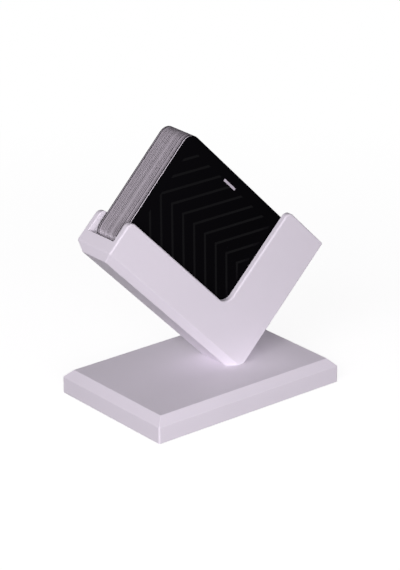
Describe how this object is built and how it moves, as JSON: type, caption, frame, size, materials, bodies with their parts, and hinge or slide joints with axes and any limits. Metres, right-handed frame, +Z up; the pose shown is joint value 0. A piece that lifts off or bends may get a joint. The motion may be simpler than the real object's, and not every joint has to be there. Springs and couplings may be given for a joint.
{
  "type": "business card holder",
  "caption": "Desk stand for business cards: a slotted V-shaped cradle on a chamfered rectangular base holds the stack tipped onto its corner, each card free to lift out.",
  "frame": {"origin": "on the desk, below the middle of the whole stand's box", "axes": "+Z up, +X towards the short arm of the cradle, +Y from the front of the stand to its back"},
  "size_m": [0.1118, 0.064, 0.1155],
  "materials": {
    "shell": "satin, pale lilac-white",
    "card": "matte black faces, pale edges",
    "screw": "plain steel",
    "pad": "matte"
  },
  "bodies": {
    "stand": {"base_plate": "shell", "card_cradle": "shell", "fixing_screws": "screw", "foot_pad_front_left": "pad", "foot_pad_front_right": "pad", "foot_pad_back_left": "pad", "foot_pad_back_right": "pad"},
    "card_01": {"card_01": "card"},
    "card_02": {"card_02": "card"},
    "card_03": {"card_03": "card"},
    "card_04": {"card_04": "card"},
    "card_05": {"card_05": "card"},
    "card_06": {"card_06": "card"},
    "card_07": {"card_07": "card"},
    "card_08": {"card_08": "card"},
    "card_09": {"card_09": "card"},
    "card_10": {"card_10": "card"},
    "card_11": {"card_11": "card"},
    "card_12": {"card_12": "card"},
    "card_13": {"card_13": "card"},
    "card_14": {"card_14": "card"},
    "card_15": {"card_15": "card"},
    "card_16": {"card_16": "card"},
    "card_17": {"card_17": "card"},
    "card_18": {"card_18": "card"}
  },
  "joints": [
    {"name": "card_01_lift", "type": "slide", "parent": "stand", "child": "card_01", "axis": [-0.0001, 0.0142, 0.9999], "range_m": [0, 0.05]},
    {"name": "card_02_lift", "type": "slide", "parent": "stand", "child": "card_02", "axis": [-0.0001, 0.0142, 0.9999], "range_m": [0, 0.05]},
    {"name": "card_03_lift", "type": "slide", "parent": "stand", "child": "card_03", "axis": [-0.0001, 0.0142, 0.9999], "range_m": [0, 0.05]},
    {"name": "card_04_lift", "type": "slide", "parent": "stand", "child": "card_04", "axis": [-0.0001, 0.0142, 0.9999], "range_m": [0, 0.05]},
    {"name": "card_05_lift", "type": "slide", "parent": "stand", "child": "card_05", "axis": [-0.0001, 0.0142, 0.9999], "range_m": [0, 0.05]},
    {"name": "card_06_lift", "type": "slide", "parent": "stand", "child": "card_06", "axis": [-0.0001, 0.0142, 0.9999], "range_m": [0, 0.05]},
    {"name": "card_07_lift", "type": "slide", "parent": "stand", "child": "card_07", "axis": [-0.0001, 0.0142, 0.9999], "range_m": [0, 0.05]},
    {"name": "card_08_lift", "type": "slide", "parent": "stand", "child": "card_08", "axis": [-0.0001, 0.0142, 0.9999], "range_m": [0, 0.05]},
    {"name": "card_09_lift", "type": "slide", "parent": "stand", "child": "card_09", "axis": [-0.0001, 0.0142, 0.9999], "range_m": [0, 0.05]},
    {"name": "card_10_lift", "type": "slide", "parent": "stand", "child": "card_10", "axis": [-0.0001, 0.0142, 0.9999], "range_m": [0, 0.05]},
    {"name": "card_11_lift", "type": "slide", "parent": "stand", "child": "card_11", "axis": [-0.0001, 0.0142, 0.9999], "range_m": [0, 0.05]},
    {"name": "card_12_lift", "type": "slide", "parent": "stand", "child": "card_12", "axis": [-0.0001, 0.0142, 0.9999], "range_m": [0, 0.05]},
    {"name": "card_13_lift", "type": "slide", "parent": "stand", "child": "card_13", "axis": [-0.0001, 0.0142, 0.9999], "range_m": [0, 0.05]},
    {"name": "card_14_lift", "type": "slide", "parent": "stand", "child": "card_14", "axis": [-0.0001, 0.0142, 0.9999], "range_m": [0, 0.05]},
    {"name": "card_15_lift", "type": "slide", "parent": "stand", "child": "card_15", "axis": [-0.0001, 0.0142, 0.9999], "range_m": [0, 0.05]},
    {"name": "card_16_lift", "type": "slide", "parent": "stand", "child": "card_16", "axis": [-0.0001, 0.0142, 0.9999], "range_m": [0, 0.05]},
    {"name": "card_17_lift", "type": "slide", "parent": "stand", "child": "card_17", "axis": [-0.0001, 0.0142, 0.9999], "range_m": [0, 0.05]},
    {"name": "card_18_lift", "type": "slide", "parent": "stand", "child": "card_18", "axis": [-0.0001, 0.0142, 0.9999], "range_m": [0, 0.05]}
  ]
}
